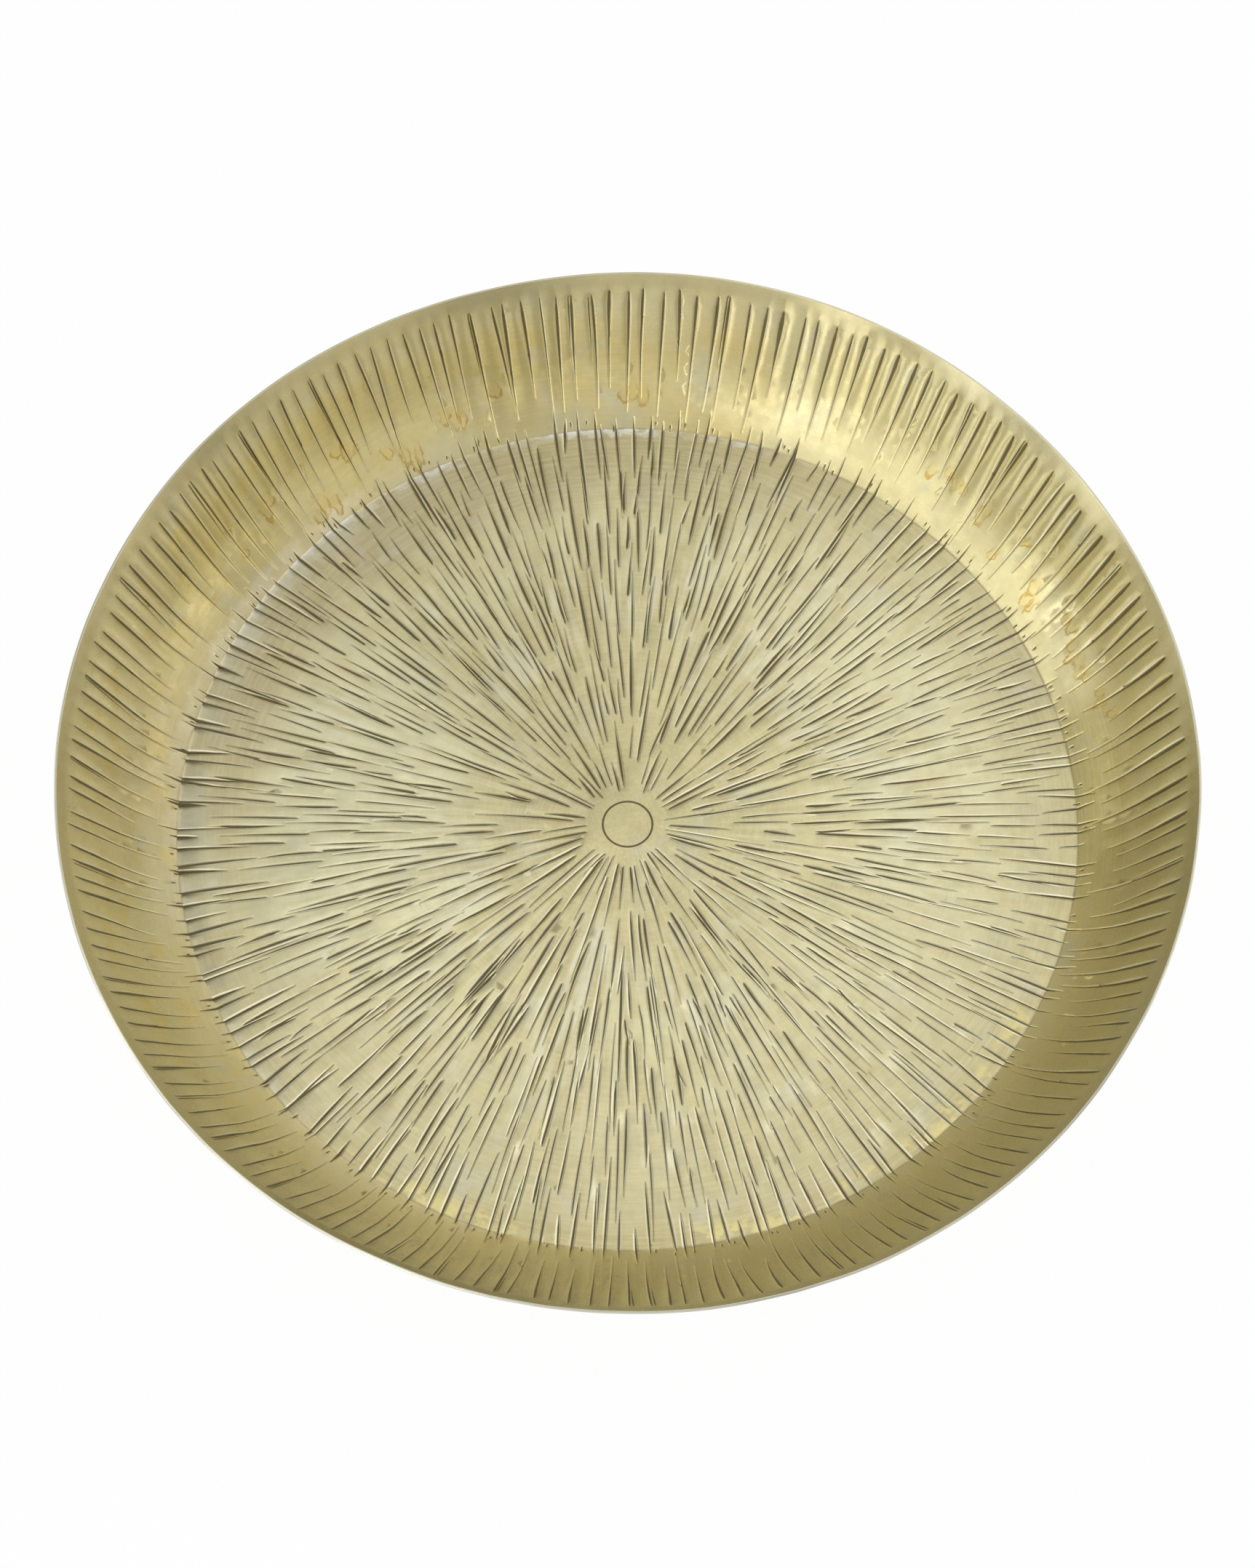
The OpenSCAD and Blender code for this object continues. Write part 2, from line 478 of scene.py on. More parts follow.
def relief(points):
    """Heights of the cuts; darkness with painted shade; lips with painted highlights; heights of the valleys
    they lie in.
    """
    s = np.linalg.norm(points, axis=1)
    squeeze = np.where(s > 1, face_line(s)[0] / np.maximum(s, 1), 1.0)
    cut, dark, lip, valley = (np.zeros(len(s)) for _ in range(4))
    off_foot = (s < BEND_S) | (s > BEND_S + FOOT_BAND)
    for mark in MARKS:
        t, side = mark.local(points)
        near = np.nonzero((t > -0.1) & (t < 1.1) & (np.abs(side) < MARK_REACH))[0]
        depth, own_dark, own_lip, own_valley = mark_relief(mark, t[near], side[near] * squeeze[near],
                                                           off_foot[near])
        cut[near] = np.minimum(cut[near], -depth)
        dark[near] = np.maximum(dark[near], own_dark)
        lip[near] = np.maximum(lip[near], own_lip)
        valley[near] -= own_valley
    a = np.arctan2(points[:, 1], points[:, 0])
    ring_w = RING_HALF_W * (0.74 + 0.34 * np.cos(a - RING_BOLD_SIDE))
    inside = np.clip(1 - np.abs(s - RING_R) / ring_w, 0, 1)
    cut = np.minimum(cut, -RING_DEPTH * inside)
    return cut, np.maximum(dark, inside), lip, np.maximum(valley, -DEEPEST_VALLEY)


def waves(points, rng, count, size, shortest, longest):
    """Sum of soft waves, as a hand-worked sheet has."""
    total = np.zeros(len(points))
    for _ in range(count):
        a, phase = rng.uniform(0, TURN), rng.uniform(0, TURN)
        k = TURN / rng.uniform(shortest, longest)
        total += np.sin(points @ np.array([math.cos(a), math.sin(a)]) * k + phase)
    return total * size / math.sqrt(count)


def hand_dents(points):
    """Broad and small dents, which go through the whole sheet."""
    hand = random.Random(DENT_SEED)
    broad = waves(points, hand, count=14, size=0.12, shortest=45, longest=140)
    return broad + waves(points, hand, count=16, size=0.045, shortest=18, longest=45)


def rim_stray(a, rng, size):
    """How far the rim strays from a true circle, by angle."""
    total = np.zeros_like(a)
    for lobes in range(2, 9):
        total += rng.gauss(0, 1) / lobes**0.7 * np.cos(lobes * a + rng.uniform(0, TURN))
    return total * size


def place(points, depth, height):
    """Points of the flattened sheet on the formed dish, at a depth through it and a height over its face."""
    s = np.linalg.norm(points, axis=1)
    a = np.arctan2(points[:, 1], points[:, 0])
    r, z, slope = face_line(s)
    lift = height - depth
    rise = np.clip((s - BEND_S) / (RIM_S - BEND_S), 0, 1) ** 1.5
    stray = random.Random(RIM_SEED)
    r = r - np.sin(slope) * lift + rise * rim_stray(a, stray, RIM_STRAY_OUT)
    z = z + np.cos(slope) * lift + rise * rim_stray(a, stray, RIM_STRAY_UP)
    return np.stack([r * np.cos(a), r * np.sin(a), z], axis=1)


# The whole sheet, and the pads
def by_angle(points, s):
    """Indices of the points on the outermost ring, in order of angle."""
    on_ring = np.nonzero(np.abs(np.linalg.norm(points, axis=1) - s) < 1e-2)[0]
    return on_ring[np.argsort(np.arctan2(points[on_ring, 1], points[on_ring, 0]))]


def edge_rings(loop, height):
    """Rings of corners round the cut edge, with eased arrises, from the upper face to the lower one."""
    arris = 0.3 * EDGE_EASE
    rings = []
    for back, depth in ((arris, arris), (0, EDGE_EASE), (0, SHEET / 2), (0, SHEET - EDGE_EASE),
                        (arris, SHEET - arris)):
        rings.append(place(loop * (RIM_S - back) / EDGE_S, depth, height))
    return rings


def bridges(loops):
    """Triangles between each ring of corners and the next."""
    faces = []
    for inner, outer in zip(loops, loops[1:]):
        next_inner, next_outer = np.roll(inner, -1), np.roll(outer, -1)
        faces.append(np.stack([inner, outer, next_outer], axis=1))
        faces.append(np.stack([inner, next_outer, next_inner], axis=1))
    return faces


def sheet_facts(upper, lower, edge_count, dark, lip):
    """For each corner: its place along the face, darkness and painted shade, burr and painted highlight, 1 on
    the underside.
    """
    rest = np.zeros(len(lower) + edge_count)
    return {
        "along": np.concatenate([np.linalg.norm(upper, axis=1), np.linalg.norm(lower, axis=1),
                                 np.full(edge_count, RIM_S)]),
        "groove": np.concatenate([dark, rest]),
        "lip": np.concatenate([np.clip(lip, 0, 1), rest]),
        "under": np.concatenate([np.zeros(len(upper)), np.ones(len(lower)), np.full(edge_count, 0.5)]),
    }


def chased_sheet():
    """The whole sheet as one closed mesh: chased face, cut edge and underside."""
    upper, upper_faces = upper_mesh()
    lower, lower_faces = lower_mesh()
    cut, dark, lip, valley = relief(upper)
    low_cut, _, _, low_valley = relief(lower)
    top_ring, low_ring = by_angle(upper, EDGE_S), by_angle(lower, EDGE_S)
    dents = hand_dents(np.concatenate([upper, lower]))
    upper_h = cut + LIP_H * lip + valley + dents[: len(upper)]
    lower_h = CUT_BELOW * low_cut + VALLEY_BELOW * low_valley + dents[len(upper):]
    edge = edge_rings(upper[top_ring], upper_h[top_ring])
    corners = np.concatenate([place(upper, 0, upper_h), place(lower, SHEET, lower_h), *edge])
    first = len(upper) + len(lower)
    loops = [top_ring]
    loops += [first + i * RIM_POINTS + np.arange(RIM_POINTS) for i in range(len(edge))]
    loops.append(len(upper) + low_ring)
    faces = [upper_faces, lower_faces[:, ::-1] + len(upper), *bridges(loops)]
    facts = sheet_facts(upper, lower, len(edge) * RIM_POINTS, dark, lip)
    return corners * MM, np.concatenate(faces), facts


def felt_disc(low, high, rng):
    """A round pad inside a box, in metres: soft arrises, and a slightly ragged cut."""
    centre = (np.array(low) + np.array(high)) / 2
    radius, half = (high[0] - low[0]) / 2, (high[2] - low[2]) / 2
    profile = [(0.35, -1), (0.7, -1), (0.9, -0.99), (0.965, -0.9), (0.995, -0.6), (1, 0), (0.995, 0.6),
               (0.965, 0.92), (0.9, 1), (0.5, 1)]
    a = np.arange(FELT_POINTS) * TURN / FELT_POINTS
    corners = [centre + (0, 0, -half)]
    for share, height in profile:
        ragged = np.array([rng.uniform(0.985, 1.0) for _ in a]) * share * radius
        fuzz = np.array([rng.uniform(0.9, 1.0) for _ in a]) if height < 0 else 1.0
        level = height * half * fuzz + 0 * a
        corners += list(centre + np.stack([ragged * np.cos(a), ragged * np.sin(a), level], axis=1))
    corners.append(centre + (0, 0, half))
    last = 1 + (len(profile) - 1) * FELT_POINTS
    faces = []
    for k in range(FELT_POINTS):
        m = (k + 1) % FELT_POINTS
        faces.append((0, 1 + m, 1 + k))
        for i in range(len(profile) - 1):
            p, q = 1 + i * FELT_POINTS, 1 + (i + 1) * FELT_POINTS
            faces += [(p + k, p + m, q + m), (p + k, q + m, q + k)]
        faces.append((last + k, last + m, len(corners) - 1))
    return np.array(corners), np.array(faces)


def add_mesh(name, corners, faces, facts=None):
    mesh = bpy.data.meshes.new(name)
    mesh.from_pydata(corners.tolist(), [], faces.tolist())
    for fact, values in (facts or {}).items():
        mesh.attributes.new(fact, "FLOAT", "POINT").data.foreach_set("value", values.astype(np.float32))
    mesh.shade_smooth()
    mesh.validate()
    piece = bpy.data.objects.new(name, mesh)
    bpy.context.collection.objects.link(piece)
    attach(piece, "root")
    return piece


# Materials
class Nodes:
    """A material and short ways to add its nodes."""

    def __init__(self, name):
        self.material = bpy.data.materials.new(name)
        self.material.use_nodes = True
        self.tree = self.material.node_tree
        self.shader = self.tree.nodes["Principled BSDF"]

    def add(self, kind, sockets=None, **settings):
        """A node, with its settings and with each socket set to a value or linked to an output."""
        node = self.tree.nodes.new("ShaderNode" + kind)
        for key, value in settings.items():
            setattr(node, key, value)
        self.fill(node, sockets or {})
        return node

    def fill(self, node, sockets):
        for key, value in sockets.items():
            if isinstance(value, bpy.types.NodeSocket):
                self.tree.links.new(value, node.inputs[key])
            else:
                node.inputs[key].default_value = value

    def fact(self, name):
        return self.add("Attribute", attribute_name=name).outputs["Fac"]

    def math(self, how, a, b=0.0):
        return self.add("Math", {0: a, 1: b}, operation=how).outputs[0]

    def product(self, first, *others):
        for other in others:
            first = self.math("MULTIPLY", first, other)
        return first

    def ramp(self, value, low, high, out_low=0.0, out_high=1.0):
        """Maps a range of values smoothly to another, and stops at its ends."""
        return self.add("MapRange", {"Value": value, "From Min": low, "From Max": high, "To Min": out_low,
                                     "To Max": out_high}, interpolation_type="SMOOTHSTEP").outputs["Result"]

    def hump(self, value, middle, reach):
        """1 at the middle, falling smoothly to 0 at reach to either side."""
        return self.ramp(self.math("ABSOLUTE", self.math("SUBTRACT", value, middle)), reach, 0.25 * reach)

    def noise(self, where, scale, detail=3.0, rough=0.55):
        return self.add("TexNoise", {"Vector": where, "Scale": scale, "Detail": detail,
                                     "Roughness": rough}).outputs["Fac"]

    def vector(self, x, y, z):
        return self.add("CombineXYZ", {0: x, 1: y, 2: z}).outputs[0]

    def vector_math(self, how, a, b=(0, 0, 0)):
        node = self.add("VectorMath", {0: a, 1: b}, operation=how)
        return node.outputs["Value" if how in ("LENGTH", "DOT_PRODUCT") else "Vector"]

    def mix(self, share, a, b):
        """Blend of two colours."""
        node = self.add("Mix", data_type="RGBA")
        self.fill(node, {0: share, 6: a, 7: b})
        return node.outputs[2]


class Brass(Nodes):
    """The brass, with what it knows of each place on the sheet and the noises that its coats share."""

    def __init__(self, name):
        super().__init__(name)
        self.where = self.add("TexCoord").outputs["Object"]
        self.along, self.groove = self.fact("along"), self.fact("groove")
        self.lip, self.under = self.fact("lip"), self.fact("under")
        flat = self.add("SeparateXYZ", {0: self.where})
        self.angle = self.math("ARCTAN2", flat.outputs[1], flat.outputs[0])
        self.turn_x, self.turn_y = self.math("COSINE", self.angle), self.math("SINE", self.angle)
        self.brushing = self.drawn_noise(0.8, 7, 0.65)
        self.streaks = self.drawn_noise(0.03, 26, 0.6)
        self.clouds = self.noise(self.where, 21.0, 3.0, 0.5)
        self.smudge = self.noise(self.where, 52.0, 5.0, 0.65)
        self.patina = self.noise(self.vector_math("ADD", self.where, (3.0, 7.0, 0.0)), 75.0, 4.0, 0.6)
        self.mottle = self.noise(self.where, 190.0, 4.0, 0.65)
        self.wall = self.ramp(self.along, FLOOR_S, FOOT_S)

    def drawn_noise(self, outward, around, rough):
        """Noise drawn out round the axis or along the rays, by its cells per millimetre and per radian."""
        where = self.vector(self.product(self.along, outward), self.product(self.turn_x, around),
                            self.product(self.turn_y, around))
        return self.noise(where, 1.0, 4.0, rough)

    def toward(self, degrees):
        """1 on the side of the tray at this angle, and -1 opposite."""
        return self.math("COSINE", self.math("SUBTRACT", self.angle, math.radians(degrees)))


def rgb(r, g, b):
    return (r, g, b, 1.0)


def floor_coats(n):
    """The floor: duller in the middle, warm and pale clouds, painted highlights, painted shade behind and
    further out.
    """
    along, clouds, streaks = n.along, n.clouds, n.streaks
    wear_and_back_shade = n.math("ADD", n.product(clouds, 0.35), n.product(streaks, 0.65))
    wear_and_back_shade = n.math("ADD", wear_and_back_shade, n.ramp(along, 20, 125, -0.1, 0.06))
    # painted shade: the floor is darker towards the back
    wear_and_back_shade = n.math("ADD", wear_and_back_shade, n.ramp(n.turn_y, 0.3, 1.0, 0.0, -0.06))
    colour = n.mix(n.ramp(wear_and_back_shade, 0.36, 0.64), rgb(0.53, 0.475, 0.25), rgb(0.68, 0.64, 0.385))
    warm = n.product(n.ramp(n.patina, 0.45, 0.66), n.ramp(along, 60, 150, 0.3, 0.55))
    colour = n.mix(warm, colour, rgb(0.64, 0.54, 0.27))
    bloom = n.product(n.ramp(clouds, 0.5, 0.36, 0.0, 0.6), n.ramp(streaks, 0.4, 0.6), n.ramp(along, 24, 50),
                      n.ramp(along, 160, 120))
    colour = n.mix(bloom, colour, rgb(0.74, 0.73, 0.58))
    # painted highlights: pale bands across the floor towards its right and its left
    right_floor_highlight = n.product(n.ramp(n.toward(12), 0.45, 0.9, 0.0, 0.6), n.ramp(along, 80, 112))
    left_floor_highlight = n.product(n.ramp(n.toward(182), 0.7, 0.97), n.ramp(along, 50, 85))
    floor_highlight = n.product(n.math("MAXIMUM", right_floor_highlight, left_floor_highlight), n.ramp(along, 168, 142),
                       n.ramp(streaks, 0.3, 0.6, 0.25, 0.65))
    colour = n.mix(floor_highlight, colour, rgb(0.80, 0.765, 0.52))
    front_shade = n.product(n.ramp(along, 85, 178), n.ramp(n.toward(278), -0.1, 0.7, 0.0, 0.65))
    right_shade = n.product(n.ramp(along, 140, 172), n.ramp(n.toward(8), 0.86, 0.97, 0.0, 0.55))
    colour = n.mix(n.math("MAXIMUM", front_shade, right_shade), colour, rgb(0.50, 0.45, 0.25))
    near_bend = n.product(n.ramp(along, BEND_S - 14, BEND_S - 4), n.ramp(clouds, 0.3, 0.6, 0.6, 0.95),
                          n.ramp(n.toward(250), -0.4, 0.6, 0.5, 1.0))
    colour = n.mix(near_bend, colour, rgb(0.49, 0.42, 0.21))
    grey = n.product(n.ramp(along, BEND_S - 26, BEND_S - 16), n.ramp(along, BEND_S - 6, BEND_S - 10),
                     n.ramp(n.toward(280), 0.5, 0.85), n.ramp(n.smudge, 0.46, 0.62, 0.0, 0.5))
    return n.mix(grey, colour, rgb(0.51, 0.475, 0.325))


def wall_coats(n):
    """The wall: yellower than the floor, on each side paler, golden, browner or olive, with painted light and
    shade.
    """
    along = n.along
    colour = n.mix(n.ramp(n.clouds, 0.38, 0.66), rgb(0.69, 0.57, 0.25), rgb(0.67, 0.60, 0.325))
    top = n.ramp(along, RIM_S - 28, RIM_S - 12, 0.0, 0.5)
    colour = n.mix(top, colour, rgb(0.67, 0.62, 0.39))
    left = n.ramp(n.toward(205), 0.5, 0.9, 0.0, 0.6)
    colour = n.mix(left, colour, rgb(0.71, 0.645, 0.40))
    right = n.ramp(n.toward(28), 0.6, 0.95, 0.0, 0.7)
    colour = n.mix(right, colour, rgb(0.66, 0.61, 0.33))
    golden = n.product(n.ramp(n.toward(123), 0.75, 0.96, 0.0, 0.6), n.ramp(along, FOOT_S + 4, FOOT_S + 16),
                       n.ramp(along, RIM_S - 14, RIM_S - 26))
    colour = n.mix(golden, colour, rgb(0.66, 0.545, 0.215))
    pale_foot = n.product(n.ramp(n.toward(305), 0.8, 0.96, 0.0, 0.6), n.ramp(along, FOOT_S + 12, FOOT_S + 4))
    colour = n.mix(pale_foot, colour, rgb(0.75, 0.65, 0.32))
    golden_foot = n.product(n.ramp(n.toward(-12), 0.85, 0.98, 0.0, 0.8),
                            n.ramp(along, FOOT_S + 28, FOOT_S + 12))
    colour = n.mix(golden_foot, colour, rgb(0.68, 0.56, 0.195))
    # painted highlight: a paler band on the lower left wall
    left_wall_highlight = n.product(n.ramp(n.toward(178), 0.9, 0.985, 0.0, 0.6),
                           n.ramp(along, FOOT_S + 24, FOOT_S + 34))
    colour = n.mix(left_wall_highlight, colour, rgb(0.83, 0.745, 0.45))
    # painted shade: a darker band low on the wall, left of the back
    left_wall_shade = n.product(n.ramp(n.toward(160), 0.955, 0.985, 0.0, 0.5), n.hump(along, FOOT_S + 17, 10))
    colour = n.mix(left_wall_shade, colour, rgb(0.56, 0.46, 0.2))
    # painted highlight: a pale patch low on the wall towards the right
    right_wall_highlight = n.product(n.ramp(n.toward(23), 0.983, 0.997, 0.0, 0.7), n.hump(along, FOOT_S + 21, 15))
    colour = n.mix(right_wall_highlight, colour, rgb(0.92, 0.84, 0.5))
    # painted shade: a darker olive lower wall on the right
    right_foot_shade = n.product(n.ramp(n.toward(4), 0.965, 0.992, 0.0, 0.6),
                           n.ramp(along, FOOT_S + 30, FOOT_S + 22))
    colour = n.mix(right_foot_shade, colour, rgb(0.50, 0.43, 0.17))
    front_right = n.ramp(n.toward(303), 0.6, 0.92, 0.0, 0.8)
    colour = n.mix(front_right, colour, rgb(0.76, 0.67, 0.335))
    # painted shade: a browner, darker foot of the left wall
    left_foot_shade = n.product(n.ramp(n.toward(188), 0.7, 0.95, 0.0, 0.7), n.ramp(along, FOOT_S + 18, FOOT_S + 3))
    colour = n.mix(left_foot_shade, colour, rgb(0.56, 0.485, 0.245))
    amber = n.product(n.ramp(n.toward(182), 0.5, 0.85), n.ramp(n.patina, 0.5, 0.62, 0.0, 0.6),
                      n.ramp(along, RIM_S - 12, RIM_S - 20))
    colour = n.mix(amber, colour, rgb(0.72, 0.57, 0.215))
    olive_top = n.product(n.ramp(n.toward(238), 0.8, 0.97, 0.0, 0.7), n.ramp(along, RIM_S - 28, RIM_S - 12))
    return n.mix(olive_top, colour, rgb(0.48, 0.42, 0.225))


def age_coats(n, colour):
    """Dirt on the floor by the bend at the back, and grey smudges, brown mottling and brushing everywhere."""
    dirt = n.product(n.ramp(n.along, 138, 170), n.ramp(n.along, FOOT_S, FLOOR_S),
                     n.ramp(n.toward(118), 0.2, 0.75, 0.05, 1.0), n.ramp(n.smudge, 0.25, 0.6, 0.5, 0.9))
    colour = n.mix(dirt, colour, rgb(0.46, 0.395, 0.215))
    colour = n.mix(n.ramp(n.smudge, 0.52, 0.72, 0.0, 0.5), colour, rgb(0.57, 0.55, 0.43))
    colour = n.mix(n.ramp(n.mottle, 0.4, 0.8, 0.0, 0.15), colour, rgb(0.48, 0.41, 0.2))
    return n.mix(n.ramp(n.brushing, 0.35, 0.7, 0.0, 0.4), colour, rgb(0.70, 0.635, 0.395))


def bend_coats(n, colour):
    """The bend: pale wear and painted shade on the left, gilt in front, a thin dark line, and wear with
    painted glints behind.
    """
    along, smudge, streaks = n.along, n.smudge, n.streaks
    wear = n.product(n.ramp(along, BEND_S - 18.0, BEND_S - 2.0), n.ramp(along, BEND_S + 1.0, BEND_S - 0.5),
                     n.ramp(n.toward(175), 0.45, 0.85), n.ramp(smudge, 0.36, 0.6, 0.1, 0.8),
                     n.ramp(streaks, 0.3, 0.6, 0.3, 1.0))
    colour = n.mix(wear, colour, rgb(0.65, 0.625, 0.46))
    # painted shade: a dark grey streaky strip on the floor beside the bend on the left
    bend_shade = n.product(n.ramp(along, BEND_S - 12.0, BEND_S - 3.0), n.ramp(along, FOOT_S, FLOOR_S),
                     n.ramp(n.toward(190), 0.9, 0.99), n.ramp(streaks, 0.38, 0.58, 0.1, 0.75))
    colour = n.mix(bend_shade, colour, rgb(0.42, 0.385, 0.245))
    gilt = n.product(n.ramp(along, BEND_S - 11.0, BEND_S - 4.0), n.ramp(along, FOOT_S, FLOOR_S),
                     n.ramp(n.toward(285), 0.45, 0.8), n.ramp(n.patina, 0.5, 0.6, 0.0, 0.8))
    colour = n.mix(gilt, colour, rgb(0.72, 0.63, 0.285))
    seam = n.product(n.hump(along, BEND_S, 0.9), n.ramp(smudge, 0.4, 0.6, 0.1, 0.5))
    colour = n.mix(seam, colour, rgb(0.34, 0.27, 0.13))
    ragged = n.math("ADD", along, n.ramp(n.mottle, 0.25, 0.75, -1.6, 1.6))
    # pale wear along the bend behind, with painted glints
    bend_wear_and_glints = n.product(n.hump(ragged, BEND_S - 1.2, 2.4), n.ramp(along, BEND_S + 1.2, BEND_S),
                          n.ramp(n.toward(112), 0.6, 0.9), n.ramp(smudge, 0.42, 0.58, 0.1, 0.8))
    colour = n.mix(bend_wear_and_glints, colour, rgb(0.70, 0.69, 0.60))
    cream_foot = n.product(n.hump(ragged, BEND_S + 3.5, 6.0), n.ramp(n.toward(152), 0.8, 0.96),
                           n.ramp(smudge, 0.4, 0.6, 0.35, 0.9))
    return n.mix(cream_foot, colour, rgb(0.80, 0.71, 0.45))


def rim_coats(n, colour):
    """The rim: dull, with two stretches of painted highlight and one of painted shade, and a pale cut edge.
    """
    along = n.along
    rim = n.ramp(along, RIM_S - 9.0, RIM_S - 4.0, 0.0, 0.5)
    colour = n.mix(rim, colour, rgb(0.53, 0.465, 0.265))
    # painted highlights: bright stretches of the rim at the back right and front right
    rim_highlights = n.math("MAXIMUM", n.ramp(n.toward(31), 0.86, 0.97, 0.0, 0.85),
                        n.ramp(n.toward(318), 0.85, 0.96, 0.0, 0.4))
    rim_highlights = n.product(rim_highlights, n.ramp(along, RIM_S - 13.0, RIM_S - 5.0),
                           n.ramp(n.clouds, 0.3, 0.55, 0.6, 1.0))
    colour = n.mix(rim_highlights, colour, rgb(0.76, 0.70, 0.45))
    # painted shade: a darker stretch of the rim at the front left
    rim_shade = n.product(n.ramp(n.toward(246), 0.955, 0.99, 0.0, 0.8),
                         n.ramp(along, RIM_S - 9.0, RIM_S - 5.0))
    colour = n.mix(rim_shade, colour, rgb(0.38, 0.33, 0.17))
    edge = n.ramp(along, RIM_S - 0.3, RIM_S - 0.05)
    return n.mix(edge, colour, rgb(0.66, 0.64, 0.5))


def stain_places(rng):
    """Angle, distance along the face, half width and half height of each drop, in groups of one to three."""
    places = []
    for low, high, count in STAIN_SECTORS:
        for i in range(count):
            a = math.radians(low + (high - low) * (i + rng.uniform(0.1, 0.9)) / count)
            s = BEND_S + rng.uniform(8, 28)
            for _ in range(rng.choice((1, 1, 2, 3))):
                wide, tall = rng.uniform(1.6, 3.0), rng.uniform(3.0, 6.5)
                places.append((a, s + rng.uniform(-2.5, 2.5), wide, tall))
                a += 1.7 * wide / STAIN_R
    return places


def drop_stains(n):
    """Drop-shaped stains on the wall: what they cover, and their broken, darker outlines, open at the top."""
    crust = n.add("TexNoise", {"Vector": n.where, "Scale": 210.0, "Detail": 3.0}).outputs["Color"]
    crust = n.add("SeparateColor", {0: crust}).outputs
    here = n.vector(n.math("ADD", n.product(n.angle, STAIN_R), n.ramp(crust[0], 0.2, 0.8, -1.0, 1.0)),
                    n.math("ADD", n.along, n.ramp(crust[1], 0.2, 0.8, -1.8, 1.8)), 0.0)
    nearest, outline = 9.0, 0.0
    for a, s, wide, tall in stain_places(random.Random(STAIN_SEED)):
        away = n.vector_math("SUBTRACT", here, (a * STAIN_R, s, 0))
        away = n.vector_math("MULTIPLY", away, (1 / wide, 1 / tall, 0))
        reach = n.vector_math("LENGTH", away)
        height = n.vector_math("DOT_PRODUCT", away, (0, 1, 0))
        nearest = n.math("MINIMUM", reach, nearest)
        brink = n.product(n.hump(reach, 0.93, 0.27), n.ramp(height, 0.8, -0.1, 0.1, 1.0))
        outline = n.math("MAXIMUM", brink, outline)
    return n.ramp(nearest, 1.0, 0.6), n.product(outline, n.ramp(crust[2], 0.34, 0.54, 0.35, 1.0))


def stain_coats(n, colour):
    """Drop stains and yellow specks on the wall."""
    above = n.ramp(n.under, 0.5, 0.0)
    inside, outline = drop_stains(n)
    colour = n.mix(n.product(inside, above, 0.4), colour, rgb(0.69, 0.54, 0.18))
    colour = n.mix(n.product(outline, above, 0.8), colour, rgb(0.50, 0.33, 0.07))
    dots = n.add("TexVoronoi", {"Vector": n.where, "Scale": 150.0}).outputs["Distance"]
    specks = n.product(n.ramp(dots, 0.06, 0.03), n.wall, n.ramp(n.smudge, 0.45, 0.6, 0.0, 0.5),
                       n.ramp(n.toward(165), -0.1, 0.6, 0.1, 1.0))
    return n.mix(specks, colour, rgb(0.74, 0.62, 0.25))


def lip_coat(n, colour):
    """Painted highlights, pale on the burrs beside the strokes and on spots by some heads, faint on the foot
    of the wall.
    """
    off_foot = n.math("MAXIMUM", n.ramp(n.along, FOOT_S, FLOOR_S, 0.12, 1.0),
                      n.ramp(n.along, BEND_S + 12, BEND_S + 20, 0.12, 1.0))
    # painted highlights on the burrs and on the spots beside heads
    return n.mix(n.product(n.ramp(n.lip, 0.06, 0.5, 0.0, 0.9), off_foot), colour, rgb(0.90, 0.85, 0.60))


def underside_coats(n, colour, below):
    """The underside: duller, with brown clouds, and worn pale where strokes have pushed through."""
    along = n.along
    colour = n.mix(n.product(below, n.ramp(n.clouds, 0.35, 0.65, 0.35, 0.75)), colour, rgb(0.42, 0.35, 0.17))
    colour = n.mix(n.product(below, n.ramp(n.smudge, 0.42, 0.75, 0.0, 0.45)), colour, rgb(0.33, 0.26, 0.125))
    ridges = n.ramp(n.math("COSINE", n.product(n.angle, WALL_MARK_COUNT)), 0.4, 1.0)
    ridges = n.product(ridges, n.ramp(along, RIM_S - 8, RIM_S - 13),
                       n.ramp(along, FOOT_S + 6, FOOT_S + 40, 0.15, 1.0))
    ridges = n.product(ridges, n.wall, n.ramp(n.streaks, 0.3, 0.6, 0.15, 0.5))
    return n.mix(n.product(below, ridges), colour, rgb(0.72, 0.64, 0.38))


def aged_brass():
    """Satin brass: fine scratches round the axis spread reflections up and down the wall."""
    n = Brass("aged_brass")
    colour = n.mix(n.wall, floor_coats(n), wall_coats(n))
    for coats in (age_coats, bend_coats, rim_coats, stain_coats, lip_coat):
        colour = coats(n, colour)
    # dark patina in the strokes' hollows, partly painted shade there, and the painted soft shade beside some
    # heads
    dark = n.ramp(n.groove, 0.03, 0.5, 0.0, 0.93)
    colour = n.mix(dark, colour, rgb(0.155, 0.125, 0.06))
    below = n.ramp(n.under, 0.5, 1.0)
    colour = underside_coats(n, colour, below)
    rough = n.math("ADD", n.ramp(n.mottle, 0.2, 0.8, 0.25, 0.33), n.product(dark, 0.25))
    rough = n.math("ADD", rough, n.product(below, n.ramp(n.smudge, 0.4, 0.65, 0.02, 0.16)))
    bump = n.add("Bump", {"Height": n.brushing, "Strength": 0.025, "Distance": 0.0004})
    round_axis = n.add("Tangent", direction_type="RADIAL", axis="Z").outputs[0]
    n.fill(n.shader, {"Base Color": colour, "Roughness": rough, "Normal": bump.outputs[0], "Metallic": 1.0,
                      "Tangent": round_axis, "Anisotropic": 0.75, "Anisotropic Rotation": 0.25})
    return n.material


